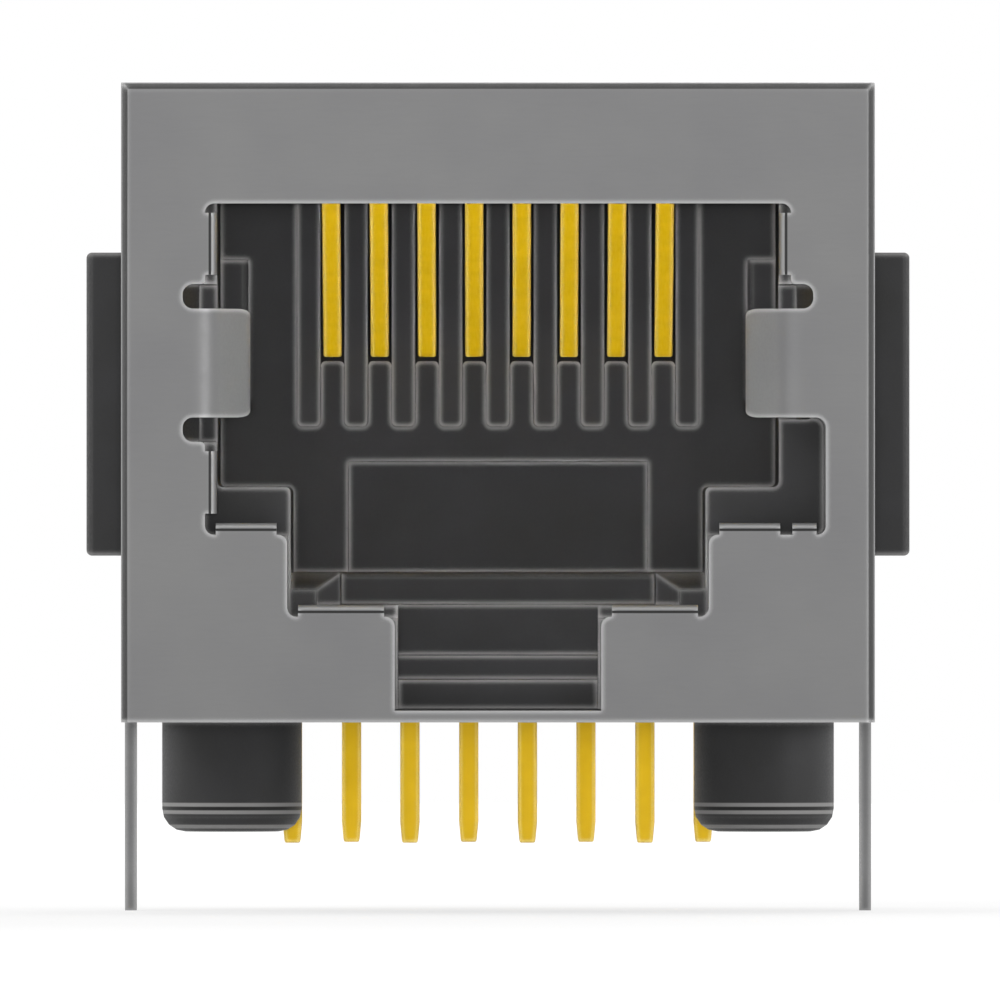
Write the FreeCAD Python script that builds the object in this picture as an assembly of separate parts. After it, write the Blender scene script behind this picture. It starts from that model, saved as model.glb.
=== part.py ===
import FreeCAD, Part
import math
import os

# Shielded right-angle jack for a modular plug with eight contacts, latch towards the board.
# Millimetres. X runs to the right of someone who looks into the mouth, Y runs away from
# them, Z up. The origin is on the board, midway between the two locating pegs.

# Shield sheet
sheet = 0.25
shield_width = 16.07
lintel_height = 2.58
shield_front = -8.0
front_fold_radius = 0.25
corner_seam = 0.04
corner_seam_start = 0.3
shield_to_housing = 0.06
back_to_housing = 0.05

# Opening in the shield's front
mouth_half_width = 6.245
mouth_top = 11.06
mouth_corner_radius = 0.2
shoulder_z = 4.0
step_half_width = 4.49
step_z = 2.25
channel_half_width = 2.2
key_reach = 6.99
notch_depth = 0.475
notch_height = 0.52
notch_radius = 0.22
lip_length = 1.0
lip_fold_radius = 0.2
lip_end_gap = 0.03
flap_length = 2.6
flap_half_width = 7.0

# Plug-ground fingers
finger_bottom = 6.5
finger_top = 8.82
finger_crest_x = 5.285
finger_crest_y = -6.3
finger_crest_radius = 0.7
finger_fold_radius = 0.7
finger_slope = 30.0
finger_tip_length = 1.2
finger_tip_height = 1.5
finger_tip_radius = 0.3
finger_taper_lead = 0.35
finger_taper_slope = 25.0
finger_taper_radius = 1.5
finger_room = 0.15

# Board legs of the shield
leg_y = 3.05
leg_width = 1.6
leg_length = 4.1
leg_tip_width = 0.9
leg_tip_length = 0.8
leg_root_radius = 0.25

# Housing
part_gap = 0.03
mouth_recess = 1.1
nose_stop_y = 4.4
end_wall = 1.1
cavity_half_width = 5.99
cavity_roof_rise = 0.24
roof_slot_half_width = 4.45
shoulder_top = 5.02
step_cavity_half_width = 4.42
step_floor = 2.5
rear_bay_half_width = 5.7
housing_rear_margin = 0.1
edge_round = 0.12

# Latch channel and catch pocket
channel_wall = 1.75
channel_wall_inset = 0.07
pocket_half_width = 3.25
pocket_floor = 0.906
pocket_step_z = 1.417
pocket_step_y = -3.6
pocket_rear_y = -1.5
ledge_half_width = 3.37
ledge_y = 0.5
ledge_z = 3.18
rail_nose = 0.5
rail_nose_drop = 0.35

# Recess and pads on the end wall
nose_recess_half_width = 3.23
nose_recess_top = 5.57
nose_recess_depth = 0.6
pad_inner_x = 5.39
pad_bottom = 6.9
pad_top = 9.92
pad_depth = 0.8

# Comb
contact_count = 8
contact_pitch = 1.02
rib_width = 0.51
rib_bottom = 6.32
rib_stand_out = 0.8
rib_corner_radius = 0.12
tongue_top = 7.74
tongue_round = 0.12

# Contacts
strip = 0.3
contact_width = 0.4
run_cover = 0.98
hairpin_y = -4.9
hairpin_radius = 0.55
arm_lap = 0.3
arm_end_z = 7.96
jog_start_y = -2.0
jog_end_y = 2.5
tail_bend_radius = 0.45
tail_width = 0.42
tail_tip_width = 0.34
tail_tip_length = 0.45
tail_length = 2.67
tail_pitch = 1.27
front_row_setback = 0.85
row_gap = 2.54

# Contact insert
insert_half_width = 5.1
insert_front_y = -4.1
insert_under_run = 0.57
insert_top_gap = 0.13
insert_rear_margin = 0.36
insert_leg_margin = 0.65
insert_leg_lap = 0.12
insert_round = 0.2

# Tail spacer
spacer_bottom = 0.35
spacer_height = 1.4
spacer_front_margin = 0.7
spacer_rear_margin = 0.71
spacer_tongue = 0.5
spacer_tongue_height = 0.5
spacer_hole_gap = 0.03

# Locating pegs
peg_spacing = 11.43
peg_diameter = 3.0
peg_length = 2.38
peg_end_radius = 0.5
peg_end_steps = 4

# Panel stops
stop_reach = 0.765
stop_bottom = 3.55
stop_top = 10.03
stop_front_y = -4.7
stop_length = 3.4
stop_chamfer = 0.35
stop_window_gap = 0.1
stop_round = 0.12

# Snaps that hold the shields
snap_y = 5.2
snap_z = 8.2
snap_length = 1.5
snap_height = 2.4
snap_ramp = 0.2
snap_window_gap = 0.15

# Rear shield
flange_length = 2.9
flange_bottom = 1.4
flange_top_drop = 1.19
flange_gap = 0.03
back_bottom = 0.3
roof_flange_half_width = 5.6
dimple_radius = 0.45
dimple_crown_radius = 0.27
dimple_height = 0.2
dimple_z = 6.8

# Worked-out places
wall_rear_y = nose_stop_y + end_wall
arm_end_y = nose_stop_y + arm_lap
front_row_y = wall_rear_y + front_row_setback
rear_row_y = front_row_y + row_gap
insert_leg_rear_y = front_row_y + insert_leg_margin
insert_rear_y = rear_row_y + insert_rear_margin
spacer_front_y = front_row_y - spacer_front_margin
spacer_rear_y = rear_row_y + spacer_rear_margin
housing_rear = spacer_rear_y + housing_rear_margin
shield_rear = housing_rear + back_to_housing + sheet
shield_height = mouth_top + lintel_height
shield_half = shield_width / 2
shield_inner_half = shield_half - sheet
shield_inner_top = shield_height - sheet
panel_inner_y = shield_front + sheet
housing_half = shield_inner_half - shield_to_housing
housing_top = shield_inner_top - shield_to_housing
housing_front = panel_inner_y
cavity_roof = mouth_top + cavity_roof_rise
run_z = housing_top - run_cover
insert_bottom = run_z - insert_under_run
insert_top = housing_top - insert_top_gap
insert_leg_bottom = rib_bottom - insert_leg_lap
flange_top = shield_inner_top - flange_top_drop
first_contact_x = -contact_pitch * (contact_count - 1) / 2
first_tail_x = -tail_pitch * (contact_count - 1) / 2
overcut = 1.0


def vector(x, y, z):
    """A point or direction in space."""
    return FreeCAD.Vector(x, y, z)


def front_plane(u, v, depth):
    """A point given by X and Z at a depth in Y."""
    return vector(u, depth, v)


def side_plane(u, v, depth):
    """A point given by Y and Z at a place in X."""
    return vector(depth, u, v)


def plan_plane(u, v, depth):
    """A point given by X and Y at a height in Z."""
    return vector(u, v, depth)


def block(x_range, y_range, z_range):
    """A rectangular solid between the given limits."""
    size = [high - low for low, high in (x_range, y_range, z_range)]
    return Part.makeBox(size[0], size[1], size[2], vector(x_range[0], y_range[0], z_range[0]))


def mirrored(shape):
    """The same shape on the other side of the jack's middle plane."""
    return shape.mirror(vector(0, 0, 0), vector(1, 0, 0))


def fused(shapes):
    """One solid from several that touch, without leftover seams."""
    return shapes[0].multiFuse(shapes[1:]).removeSplitter()


def rounded_corner(before, corner, after, radius):
    """Where a corner's arc starts, its middle and where it ends."""
    into = (before - corner).normalize()
    out = (after - corner).normalize()
    half = into.getAngle(out) / 2
    run = radius / math.tan(half)
    toward = (into + out).normalize()
    middle = corner + toward * (radius / math.sin(half) - radius)
    return corner + into * run, middle, corner + out * run


def outline_face(corners, plane, depth):
    """A flat face from corners (u, v, radius), each rounded by its radius."""
    points = [plane(u, v, depth) for u, v, radius in corners]
    edges = []
    ends = []
    for index, (u, v, radius) in enumerate(corners):
        here = points[index]
        after = points[(index + 1) % len(points)]
        if radius > 0:
            start, middle, end = rounded_corner(points[index - 1], here, after, radius)
            edges.append(Part.Arc(start, middle, end).toShape())
        else:
            start = here
            end = here
        ends.append((start, end))
    for index, (start, end) in enumerate(ends):
        following = ends[(index + 1) % len(ends)][0]
        if (following - end).Length > 1e-6:
            edges.append(Part.LineSegment(end, following).toShape())
    wire = Part.Wire(Part.__sortEdges__(edges))
    return Part.Face(wire)


def prism(corners, plane, depth, thickness):
    """An outline carried straight along its own normal."""
    along = plane(0, 0, 1) - plane(0, 0, 0)
    return outline_face(corners, plane, depth).extrude(along * thickness)


def strip_corners(path, thickness):
    """Both sides of a bent strip, from its middle line's corners (u, v, radius)."""
    half = thickness / 2
    left = []
    right = []
    for index, (u, v, radius) in enumerate(path):
        here = vector(u, v, 0)
        before = vector(*path[max(index - 1, 0)][:2], 0)
        after = vector(*path[min(index + 1, len(path) - 1)][:2], 0)
        into = (here - before) if index > 0 else (after - here)
        out = (after - here) if index < len(path) - 1 else (here - before)
        into.normalize()
        out.normalize()
        turn = into.x * out.y - into.y * out.x
        normal_in = vector(-into.y, into.x, 0)
        normal_out = vector(-out.y, out.x, 0)
        miter = (normal_in + normal_out) * (half / (1 + normal_in.dot(normal_out)))
        inner_change = half if turn > 0 else -half
        left_radius = radius - inner_change if radius > 0 else 0
        right_radius = radius + inner_change if radius > 0 else 0
        left.append((here.x + miter.x, here.y + miter.y, left_radius))
        right.append((here.x - miter.x, here.y - miter.y, right_radius))
    return left + right[::-1]


def rounded_edges(shape, radius, chosen):
    """The shape with a rounding on the edges that the test picks."""
    edges = [edge for edge in shape.Edges if chosen(edge)]
    return shape.makeFillet(radius, edges) if edges else shape


def runs_along(edge, direction):
    """Is the edge straight and parallel to a direction?"""
    if edge.Curve.TypeId != "Part::GeomLine":
        return False
    return abs(abs(edge.Curve.Direction.dot(direction)) - 1) < 1e-6


def lies_at(edge, axis, value):
    """Do all of the edge's corners share one coordinate?"""
    return all(abs(getattr(corner.Point, axis) - value) < 1e-5 for corner in edge.Vertexes)


# Front shield
def finger_root_x():
    """Where the flat front turns into a finger's fold."""
    slope = math.radians(finger_slope)
    return finger_corner()[0] + finger_fold_radius * math.tan((math.pi / 2 - slope) / 2)


def finger_crest_corner():
    """The corner that the crest's arc rounds, on the strip's middle line."""
    rise = finger_crest_radius * (1 / math.cos(math.radians(finger_slope)) - 1)
    return finger_crest_x + sheet / 2 - rise, finger_crest_y


def finger_corner():
    """The corner that the fold's arc rounds, on the strip's middle line."""
    crest_x, crest_y = finger_crest_corner()
    middle_y = shield_front + sheet / 2
    return crest_x + (crest_y - middle_y) * math.tan(math.radians(finger_slope)), middle_y


def ground_finger():
    """The right-hand finger: folded in, crowned towards the plug, tapered to its tip."""
    slope = math.radians(finger_slope)
    crest_x, crest_y = finger_crest_corner()
    fold_x, fold_y = finger_corner()
    tip_x = crest_x + finger_tip_length * math.sin(slope)
    tip_y = crest_y + finger_tip_length * math.cos(slope)
    path = [
        (finger_root_x() + notch_radius, fold_y, 0),
        (fold_x, fold_y, finger_fold_radius),
        (crest_x, crest_y, finger_crest_radius),
        (tip_x, tip_y, 0),
    ]
    height = finger_top - finger_bottom
    leaf = prism(strip_corners(path, sheet), plan_plane, finger_bottom, height)
    return leaf.common(prism(finger_side(tip_y + sheet), side_plane, 0, shield_half))


def finger_side(end_y):
    """Corners of a finger seen from the side: full height to its crest, then a narrower tip."""
    middle = (finger_top + finger_bottom) / 2
    full = (finger_top - finger_bottom) / 2
    tip = finger_tip_height / 2
    taper_y = finger_crest_y - finger_taper_lead
    narrow_y = taper_y + (full - tip) / math.tan(math.radians(finger_taper_slope))
    upper = [
        (shield_front - overcut, full, 0),
        (taper_y, full, finger_taper_radius),
        (narrow_y, tip, finger_tip_radius),
        (end_y, tip, finger_tip_radius),
    ]
    corners = upper + [(y, -rise, radius) for y, rise, radius in upper[::-1]]
    return [(y, middle + rise, radius) for y, rise, radius in corners]


def half_opening(side):
    """Corners of one half of the front opening, from the top middle to the bottom middle."""
    notch_x = mouth_half_width + notch_depth
    root_x = finger_root_x()
    corners = [
        (0, mouth_top, 0),
        (mouth_half_width, mouth_top, mouth_corner_radius),
        (mouth_half_width, finger_top + notch_height, mouth_corner_radius / 2),
        (notch_x, finger_top + notch_height, notch_radius),
        (notch_x, finger_top, notch_radius),
        (root_x, finger_top, 0),
        (root_x, finger_bottom, 0),
    ]
    if side > 0:
        corners += [
            (key_reach, finger_bottom, notch_radius),
            (key_reach, shoulder_z, mouth_corner_radius),
        ]
    else:
        corners += [
            (notch_x, finger_bottom, notch_radius),
            (notch_x, finger_bottom - notch_height, notch_radius),
            (mouth_half_width, finger_bottom - notch_height, mouth_corner_radius / 2),
            (mouth_half_width, shoulder_z, mouth_corner_radius),
        ]
    corners += [
        (step_half_width, shoulder_z, mouth_corner_radius),
        (step_half_width, step_z, mouth_corner_radius),
        (channel_half_width, step_z, mouth_corner_radius),
        (channel_half_width, sheet, 0),
    ]
    return [(side * x, z, radius) for x, z, radius in corners]


def front_opening(depth, thickness):
    """The front opening's outline as a cutting prism."""
    corners = half_opening(1) + half_opening(-1)[:0:-1]
    return prism(corners, front_plane, depth, thickness)


def side_lip(side, z_low, z_high):
    """A lip folded in along an upright edge of the opening."""
    inner = mouth_half_width - sheet
    corners = [
        (inner, shield_front, lip_fold_radius),
        (mouth_half_width, shield_front, 0),
        (mouth_half_width, shield_front + lip_length, 0),
        (inner, shield_front + lip_length, 0),
    ]
    lip = prism(corners, plan_plane, z_low, z_high - z_low)
    return lip if side > 0 else mirrored(lip)


def floor_lip(x_low, x_high, z):
    """A lip folded in along a level edge of the opening, above it."""
    corners = [
        (shield_front, z + sheet, lip_fold_radius),
        (shield_front + lip_length, z + sheet, 0),
        (shield_front + lip_length, z, 0),
        (shield_front, z, 0),
    ]
    return prism(corners, side_plane, x_low, x_high - x_low)


def opening_lips():
    """All lips that line the mouth, short of its corners by a small gap."""
    side_inset = mouth_half_width - mouth_corner_radius - lip_end_gap
    shoulder_from = step_half_width + mouth_corner_radius + lip_end_gap
    step_from = channel_half_width + mouth_corner_radius + lip_end_gap
    step_to = step_half_width - mouth_corner_radius - lip_end_gap
    upper_from = finger_top + notch_height + mouth_corner_radius
    upper_to = mouth_top - mouth_corner_radius
    lower_from = shoulder_z + mouth_corner_radius + sheet
    lower_to = finger_bottom - notch_height - mouth_corner_radius
    lips = [side_lip(side, upper_from, upper_to) for side in (1, -1)]
    lips.append(side_lip(-1, lower_from, lower_to))
    lips.append(floor_lip(-side_inset, -shoulder_from, shoulder_z))
    lips.append(floor_lip(shoulder_from, side_inset, shoulder_z))
    lips.append(floor_lip(mouth_half_width + lip_end_gap, key_reach - mouth_corner_radius, shoulder_z))
    lips.append(floor_lip(-step_to, -step_from, step_z))
    lips.append(floor_lip(step_from, step_to, step_z))
    return lips


def bottom_flap():
    """The flap folded back under the housing, which also closes the channel's foot."""
    corners = [
        (shield_front, 0, front_fold_radius),
        (shield_front + flap_length, 0, 0),
        (shield_front + flap_length, sheet, 0),
        (shield_front, sheet, 0),
    ]
    return prism(corners, side_plane, -flap_half_width, 2 * flap_half_width)


def board_leg(side):
    """A leg that continues a side wall through the board, narrowed to its tip."""
    half = leg_width / 2
    tip = leg_tip_width / 2
    corners = [
        (leg_y - half - leg_root_radius, sheet, 0),
        (leg_y - half, sheet, 0),
        (leg_y - half, -leg_length + leg_tip_length, 0),
        (leg_y - tip, -leg_length, 0),
        (leg_y + tip, -leg_length, 0),
        (leg_y + half, -leg_length + leg_tip_length, 0),
        (leg_y + half, sheet, 0),
        (leg_y + half + leg_root_radius, sheet, 0),
        (leg_y + half + leg_root_radius, 2 * sheet, 0),
        (leg_y - half - leg_root_radius, 2 * sheet, 0),
    ]
    leg = prism(corners, side_plane, shield_inner_half, sheet)
    return leg if side > 0 else mirrored(leg)


def stop_window():
    """The hole in a side wall through which a panel stop passes, for both walls at once."""
    low = stop_front_y - stop_window_gap
    high = stop_front_y + stop_length + stop_window_gap
    corners = [
        (low, stop_bottom - stop_window_gap, stop_round),
        (high, stop_bottom - stop_window_gap, stop_round),
        (high, stop_top + stop_window_gap, stop_round),
        (low, stop_top + stop_window_gap, stop_round),
    ]
    reach = shield_half + overcut
    return prism(corners, side_plane, -reach, 2 * reach)


def snap_window():
    """The hole in a side wall that catches a snap of the housing, for both walls at once."""
    half = snap_height / 2 + snap_window_gap
    low = snap_y - snap_window_gap
    high = snap_y + snap_length + snap_window_gap
    corners = [
        (low, snap_z - half, stop_round),
        (high, snap_z - half, stop_round),
        (high, snap_z + half, stop_round),
        (low, snap_z + half, stop_round),
    ]
    reach = shield_half + overcut
    return prism(corners, side_plane, -reach, 2 * reach)


def corner_seams():
    """The open seams under the roof's side edges, where the folded walls only meet."""
    reach = shield_half + overcut
    start = shield_front + front_fold_radius + corner_seam_start
    return block((-reach, reach), (start, shield_rear + overcut),
                 (shield_inner_top - corner_seam, shield_inner_top))


def dimple_holes():
    """Round holes in the side walls, in which the rear shield's dimples click."""
    hole_radius = dimple_radius + flange_gap
    start = vector(-shield_half - overcut, dimple_y(), dimple_z)
    return Part.makeCylinder(hole_radius, 2 * (shield_half + overcut), start, vector(1, 0, 0))


def dimple_y():
    """How far back the dimples sit on the flanges."""
    return shield_rear - flange_length / 2


def build_front_shield():
    """The folded front sheet with its opening, lips, fingers, windows and legs."""
    outer = block((-shield_half, shield_half), (shield_front, shield_rear), (0, shield_height))
    outer = rounded_edges(
        outer,
        front_fold_radius,
        lambda edge: lies_at(edge, "y", shield_front) and not lies_at(edge, "z", 0),
    )
    inner = block(
        (-shield_inner_half, shield_inner_half),
        (panel_inner_y, shield_rear + overcut),
        (-overcut, shield_inner_top),
    )
    sheet_body = outer.cut(inner)
    sheet_body = sheet_body.cut(front_opening(shield_front - overcut, sheet + 2 * overcut))
    finger = ground_finger()
    additions = opening_lips() + [finger, mirrored(finger), bottom_flap()]
    additions += [board_leg(1), board_leg(-1)]
    holes = [stop_window(), snap_window(), dimple_holes(), corner_seams()]
    return fused([sheet_body] + additions).cut(Part.makeCompound(holes)).removeSplitter()


# Rear shield
def dimple(side):
    """A low round boss pressed out of a flange."""
    base = vector(side * (shield_inner_half - flange_gap), dimple_y(), dimple_z)
    return Part.makeCone(dimple_radius, dimple_crown_radius, dimple_height, base, vector(side, 0, 0))


def build_rear_shield():
    """The back plate with two side flanges and a roof flange, inside the front shield."""
    outer_half = shield_inner_half - flange_gap
    outer_top = shield_inner_top - flange_gap
    start_y = shield_rear - flange_length
    outer = block((-outer_half, outer_half), (start_y, shield_rear), (back_bottom, outer_top))
    outer = rounded_edges(
        outer,
        front_fold_radius,
        lambda edge: lies_at(edge, "y", shield_rear) and not lies_at(edge, "z", back_bottom),
    )
    inner = block(
        (-outer_half + sheet, outer_half - sheet),
        (start_y - overcut, shield_rear - sheet),
        (back_bottom - overcut, outer_top - sheet),
    )
    body = outer.cut(inner)
    flange_end = shield_rear - sheet
    reach = shield_half
    trims = [
        block((-reach, reach), (start_y - overcut, flange_end), (flange_top, outer_top - sheet)),
        block((-reach, reach), (start_y - overcut, flange_end), (-overcut, flange_bottom)),
    ]
    for side in (1, -1):
        near = side * roof_flange_half_width
        far = side * reach
        x_range = (min(near, far), max(near, far))
        trims.append(block(x_range, (start_y - overcut, flange_end), (flange_top, shield_height)))
    body = body.cut(Part.makeCompound(trims))
    return fused([body, dimple(1), dimple(-1)])


# Housing
def cavity_section():
    """The plug's way in, seen from the front: shoulders, step and roof slot."""
    right = [
        (roof_slot_half_width, housing_top + overcut, 0),
        (roof_slot_half_width, cavity_roof, 0),
        (cavity_half_width, cavity_roof, edge_round),
        (cavity_half_width, shoulder_top, edge_round),
        (step_cavity_half_width, shoulder_top, edge_round),
        (step_cavity_half_width, step_floor, edge_round),
    ]
    left = [(-x, z, radius) for x, z, radius in right[::-1]]
    return right + left


def plug_cavity():
    """The cavity as far as the end wall, with the roof slot starting at the hairpins."""
    slot_front = hairpin_y - hairpin_radius - strip / 2 - finger_room
    cavity = prism(cavity_section(), front_plane, housing_front - overcut,
                   nose_stop_y - housing_front + overcut)
    front_bar = block(
        (-roof_slot_half_width - overcut, roof_slot_half_width + overcut),
        (housing_front - 2 * overcut, slot_front),
        (cavity_roof, housing_top + 2 * overcut),
    )
    return cavity.cut(front_bar)


def mouth_pocket():
    """The recess that takes the shield's lips, a little wider than the opening."""
    wide = mouth_half_width + part_gap
    deep = mouth_recess
    corners = [
        (wide, cavity_roof, 0),
        (wide, finger_bottom, 0),
        (key_reach - part_gap, finger_bottom, notch_radius),
        (key_reach - part_gap, shoulder_z - part_gap, mouth_corner_radius),
        (step_half_width, shoulder_z - part_gap, 0),
        (step_half_width, step_z - part_gap, 0),
        (-step_half_width, step_z - part_gap, 0),
        (-step_half_width, shoulder_z - part_gap, 0),
        (-wide, shoulder_z - part_gap, mouth_corner_radius),
        (-wide, cavity_roof, 0),
    ]
    return prism(corners, front_plane, housing_front - overcut, deep + overcut)


def finger_pocket(low):
    """Room beside the cavity, from a given height, for the right-hand finger to bend outwards."""
    notch_x = mouth_half_width + notch_depth
    rear_y = finger_crest_y + finger_tip_length + 2 * finger_room + sheet
    corners = [
        (cavity_half_width - overcut, housing_front - overcut, 0),
        (notch_x + part_gap, housing_front - overcut, 0),
        (notch_x + part_gap, housing_front + notch_depth, 0),
        (cavity_half_width + sheet + finger_room, rear_y, 0),
        (cavity_half_width - overcut, rear_y, 0),
    ]
    high = finger_top + notch_height
    return prism(corners, plan_plane, low, high - low)


def latch_pocket():
    """The latch's way in, the catch pocket behind it and its stepped floor."""
    front = housing_front - overcut
    wall_y = housing_front + channel_wall
    half = channel_half_width - channel_wall_inset
    channel = block((-half, half), (front, wall_y), (-overcut, step_floor + overcut))
    side = [
        (wall_y, pocket_floor, 0),
        (pocket_step_y, pocket_floor, 0),
        (pocket_step_y, pocket_step_z, 0),
        (pocket_rear_y, pocket_step_z, 0),
        (pocket_rear_y, step_floor + overcut, 0),
        (wall_y, step_floor + overcut, 0),
    ]
    pocket = prism(side, side_plane, -pocket_half_width, 2 * pocket_half_width)
    return channel.fuse(pocket)


def floor_ledge():
    """The raised part of the floor on which the plug's nose settles."""
    corners = [
        (ledge_y, step_floor - overcut, 0),
        (ledge_y, ledge_z, edge_round),
        (wall_rear_y, ledge_z, 0),
        (wall_rear_y, step_floor - overcut, 0),
    ]
    reach = ledge_half_width + edge_round
    return prism(corners, side_plane, -reach, 2 * reach)


def floor_rail():
    """The right-hand rail beside the ledge, its nose sloped on the top and the inside."""
    nose_y = housing_front + mouth_recess
    section = [
        (ledge_half_width, step_floor - edge_round),
        (ledge_half_width, ledge_z),
        (step_cavity_half_width + edge_round, ledge_z),
        (step_cavity_half_width + edge_round, step_floor - edge_round),
    ]
    small = [
        (ledge_half_width + rail_nose, step_floor - edge_round),
        (ledge_half_width + rail_nose, ledge_z - rail_nose_drop),
        (step_cavity_half_width + edge_round, ledge_z - rail_nose_drop),
        (step_cavity_half_width + edge_round, step_floor - edge_round),
    ]
    loops = []
    for outline, y in ((small, nose_y), (section, nose_y + rail_nose)):
        points = [vector(x, y, z) for x, z in outline]
        loops.append(Part.makePolygon(points + points[:1]))
    nose = Part.makeLoft(loops, True, True)
    body = prism([(x, z, 0) for x, z in section], front_plane, nose_y + rail_nose,
                 wall_rear_y - nose_y - rail_nose)
    return nose.fuse(body)


def comb_rib():
    """One rib of the comb, proud of the end wall, with rounded lower corners."""
    half = rib_width / 2
    corners = [
        (-half, insert_bottom - part_gap, 0),
        (-half, rib_bottom, rib_corner_radius),
        (half, rib_bottom, rib_corner_radius),
        (half, insert_bottom - part_gap, 0),
    ]
    front = nose_stop_y - rib_stand_out
    return prism(corners, front_plane, front, wall_rear_y - front)


def comb_tongue():
    """The end wall's rounded top between two ribs, under a contact's end."""
    half = (contact_pitch - rib_width) / 2
    low = tongue_top - 2 * tongue_round
    corners = [
        (-half, low, 0),
        (-half, tongue_top, tongue_round),
        (half, tongue_top, tongue_round),
        (half, low, 0),
    ]
    return prism(corners, front_plane, nose_stop_y, end_wall)


def comb_slot():
    """The gap in the end wall that the ribs and tongues stand in."""
    half = contact_pitch * contact_count / 2 + rib_width / 2
    return block((-half, half), (nose_stop_y - overcut, wall_rear_y + overcut),
                 (tongue_top - tongue_round, housing_top + overcut))


def end_wall_pad():
    """The right-hand pad that stands out of the end wall beside the comb."""
    corners = [
        (pad_inner_x, nose_stop_y - pad_depth, edge_round),
        (cavity_half_width + edge_round, nose_stop_y - pad_depth, 0),
        (cavity_half_width + edge_round, nose_stop_y + edge_round, 0),
        (pad_inner_x, nose_stop_y + edge_round, 0),
    ]
    return prism(corners, plan_plane, pad_bottom, pad_top - pad_bottom)


def locating_peg():
    """The right-hand peg, turned about its own axis, its end rounded in short flat steps."""
    radius = peg_diameter / 2
    corners = [(0, edge_round, 0), (radius, edge_round, 0)]
    for step in range(peg_end_steps + 1):
        angle = math.pi / 2 * step / peg_end_steps
        inward = peg_end_radius * (1 - math.cos(angle))
        down = peg_end_radius * (1 - math.sin(angle))
        corners.append((radius - inward, down - peg_length, 0))
    corners.append((0, -peg_length, 0))
    face = outline_face(corners, front_plane, 0)
    peg = face.revolve(vector(0, 0, 0), vector(0, 0, 1), 360)
    return peg.translate(vector(peg_spacing / 2, 0, 0))


def panel_stop():
    """The right-hand panel stop: square to the panel in front, sloped behind."""
    reach = shield_half + stop_reach
    rear = stop_front_y + stop_length
    corners = [
        (housing_half - edge_round, stop_front_y, 0),
        (reach, stop_front_y, stop_round),
        (reach, rear - stop_chamfer - stop_reach, stop_round),
        (shield_half, rear, 0),
        (housing_half - edge_round, rear, 0),
    ]
    front = [
        (housing_half - edge_round, stop_bottom, 0),
        (reach, stop_bottom, stop_round),
        (reach, stop_top, stop_round),
        (housing_half - edge_round, stop_top, 0),
    ]
    outline = prism(front, front_plane, stop_front_y, stop_length)
    return prism(corners, plan_plane, stop_bottom, stop_top - stop_bottom).common(outline)


def housing_snap():
    """The right-hand snap: a wedge that the side wall rides over before it clicks in place."""
    corners = [
        (housing_half - edge_round, snap_y, 0),
        (housing_half + snap_ramp, snap_y, 0),
        (housing_half + snap_ramp, snap_y + snap_length / 2, 0),
        (housing_half, snap_y + snap_length, 0),
        (housing_half - edge_round, snap_y + snap_length, 0),
    ]
    return prism(corners, plan_plane, snap_z - snap_height / 2, snap_height)


def rear_bay():
    """The open space behind the end wall for the tails."""
    return block((-rear_bay_half_width, rear_bay_half_width), (wall_rear_y, housing_rear + overcut),
                 (-overcut, housing_top + overcut))


def insert_seat():
    """The ledged slot in the roof that the contact insert slides along."""
    half = insert_half_width + part_gap
    return block((-half, half), (insert_front_y - part_gap, housing_rear + overcut),
                 (insert_bottom - part_gap, housing_top + overcut))


def spacer_groove():
    """The grooves in the rear side walls that hold the tail spacer's tongues."""
    half = rear_bay_half_width + spacer_tongue
    middle = spacer_bottom + spacer_height / 2
    low = middle - spacer_tongue_height / 2 - part_gap
    high = middle + spacer_tongue_height / 2 + part_gap
    return block((-half, half), (spacer_front_y - part_gap, housing_rear + overcut), (low, high))


def flange_rebate():
    """Material left off the rear of the housing, where the rear shield's flanges lie."""
    start = shield_rear - flange_length - part_gap
    half = shield_inner_half - flange_gap - sheet - part_gap
    top = shield_inner_top - flange_gap - sheet - part_gap
    whole = block((-shield_half, shield_half), (start, housing_rear + overcut),
                  (-overcut, shield_height))
    kept = block((-half, half), (start - overcut, housing_rear + 2 * overcut), (-2 * overcut, top))
    return whole.cut(kept)


def flap_rebate():
    """Material left off the underside for the shield's bottom flap."""
    half = flap_half_width + part_gap
    return block((-half, half), (housing_front - overcut, shield_front + flap_length + part_gap),
                 (-overcut, sheet + part_gap))


def build_housing():
    """The black moulding that everything else is mounted on."""
    body = block((-housing_half, housing_half), (housing_front, housing_rear), (0, housing_top))
    body = rounded_edges(body, edge_round, lambda edge: runs_along(edge, vector(0, 1, 0)))
    key_side = finger_pocket(finger_bottom - part_gap)
    plain_side = mirrored(finger_pocket(finger_bottom - notch_height))
    cuts = [plug_cavity(), mouth_pocket(), key_side, plain_side, latch_pocket(), comb_slot()]
    cuts += [rear_bay(), insert_seat(), spacer_groove(), flange_rebate(), flap_rebate()]
    cuts.append(block((-nose_recess_half_width, nose_recess_half_width),
                      (nose_stop_y - overcut, nose_stop_y + nose_recess_depth),
                      (ledge_z, nose_recess_top)))
    for cut in cuts:
        body = body.cut(cut)
    additions = [floor_ledge()]
    for piece in (floor_rail(), end_wall_pad(), locating_peg(), panel_stop(), housing_snap()):
        additions += [piece, mirrored(piece)]
    for index in range(contact_count + 1):
        rib = comb_rib()
        rib.translate(vector(contact_x(index - 0.5), 0, 0))
        additions.append(rib)
    for index in range(contact_count):
        tongue = comb_tongue()
        tongue.translate(vector(contact_x(index), 0, 0))
        additions.append(tongue)
    return fused([body] + additions)


# Contacts
def contact_x(index):
    """The place of a contact's arm across the mouth."""
    return first_contact_x + index * contact_pitch


def tail_x(index):
    """The place of a contact's tail across the board."""
    return first_tail_x + index * tail_pitch


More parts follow.
